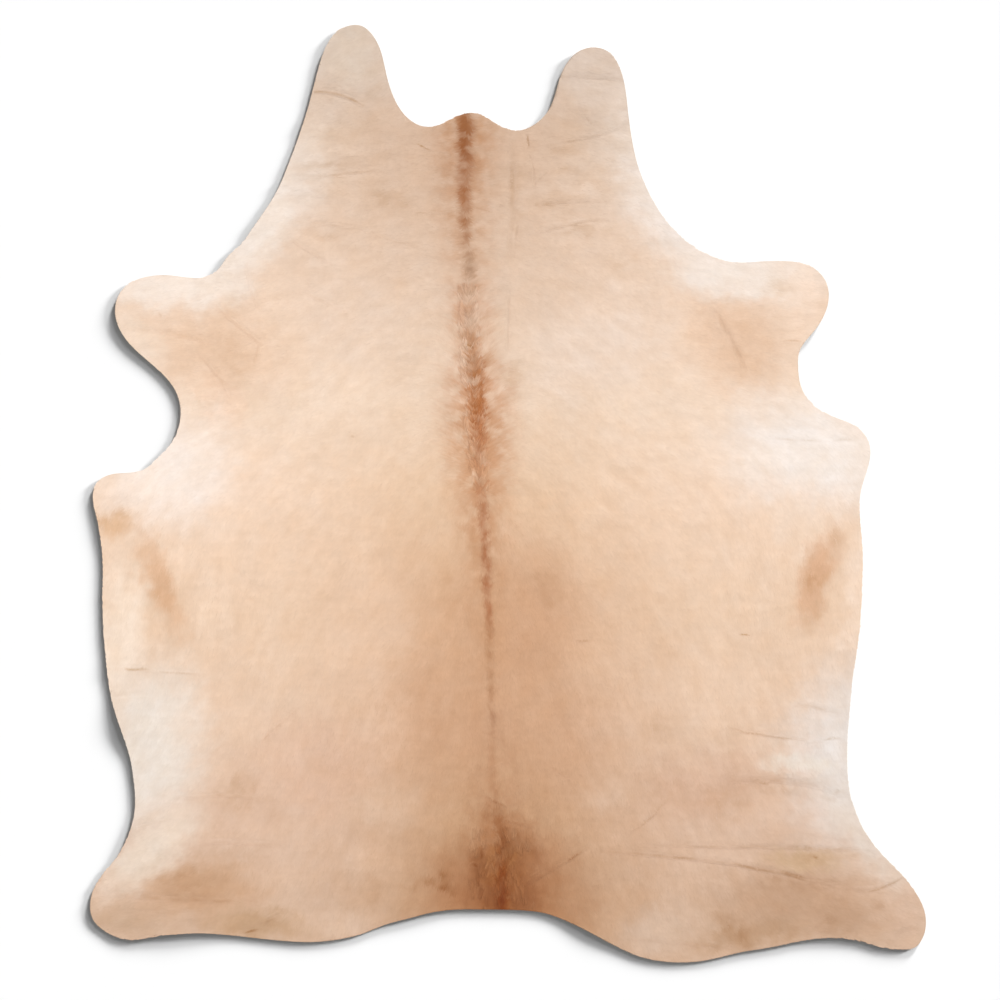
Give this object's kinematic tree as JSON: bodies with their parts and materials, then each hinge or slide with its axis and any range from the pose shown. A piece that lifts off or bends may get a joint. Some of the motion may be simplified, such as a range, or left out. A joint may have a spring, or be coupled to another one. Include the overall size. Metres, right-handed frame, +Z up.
{
  "type": "cowhide rug",
  "caption": "Whole flat cowhide cut in the animal's outline, with neck flaps, shanks and hind legs, short pale tan hair side up.",
  "frame": {"origin": "middle of the hide's bounding box, at the level of the floor under the flesh side", "axes": "+Y towards the neck, +X to the right seen from above, +Z up out of the coat"},
  "size_m": [1.8704, 2.0979, 0.011],
  "materials": {
    "hair_on_hide": "short cattle hair lying flat, pale tan with a brown back stripe, soft satin gloss",
    "flesh_side": "buffed suede, matt"
  },
  "bodies": {
    "root": {"hide": "hair_on_hide"}
  },
  "joints": []
}
